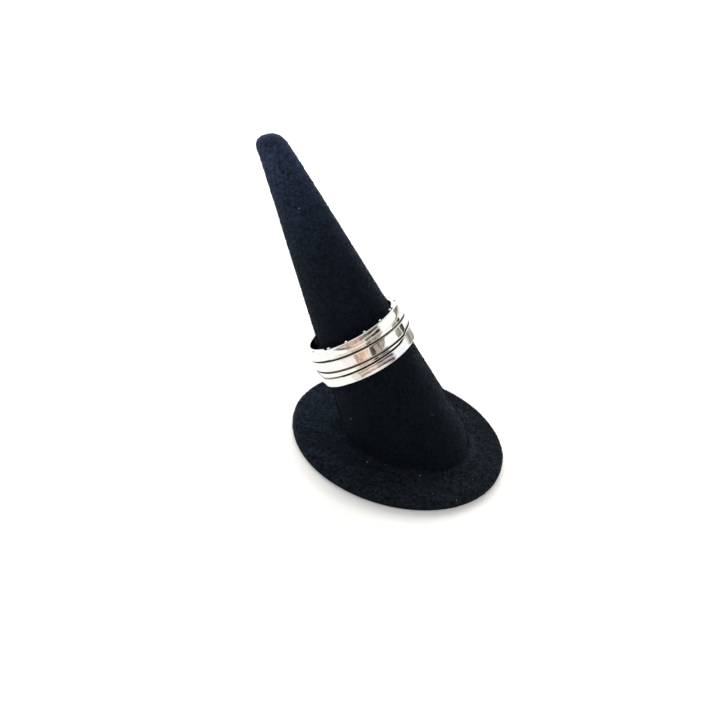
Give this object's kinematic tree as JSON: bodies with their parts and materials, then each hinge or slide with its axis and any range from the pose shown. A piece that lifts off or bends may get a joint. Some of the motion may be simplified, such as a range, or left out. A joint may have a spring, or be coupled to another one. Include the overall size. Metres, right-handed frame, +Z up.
{
  "type": "triple band ring on a slanted ring display cone",
  "caption": "Wide polished band ring with a spiral band wound between plain edge bands, worn on a slanted black velvet ring cone with a thin round foot.",
  "frame": {"origin": "middle of the foot disc's underside", "axes": "+Z up out of the foot disc; the cone and the ring on it lean towards -X; +Y completes the frame"},
  "size_m": [0.0649, 0.048, 0.0606],
  "materials": {
    "velvet_base": "black velvet with a short nap",
    "velvet_cone": "black velvet with a short nap",
    "ring_metal": "polished white metal",
    "band_metal": "polished white metal"
  },
  "bodies": {
    "root": {"display_base": "velvet_base", "display_cone": "velvet_cone", "ring_sleeve": "ring_metal", "spiral_band": "band_metal"}
  },
  "joints": []
}
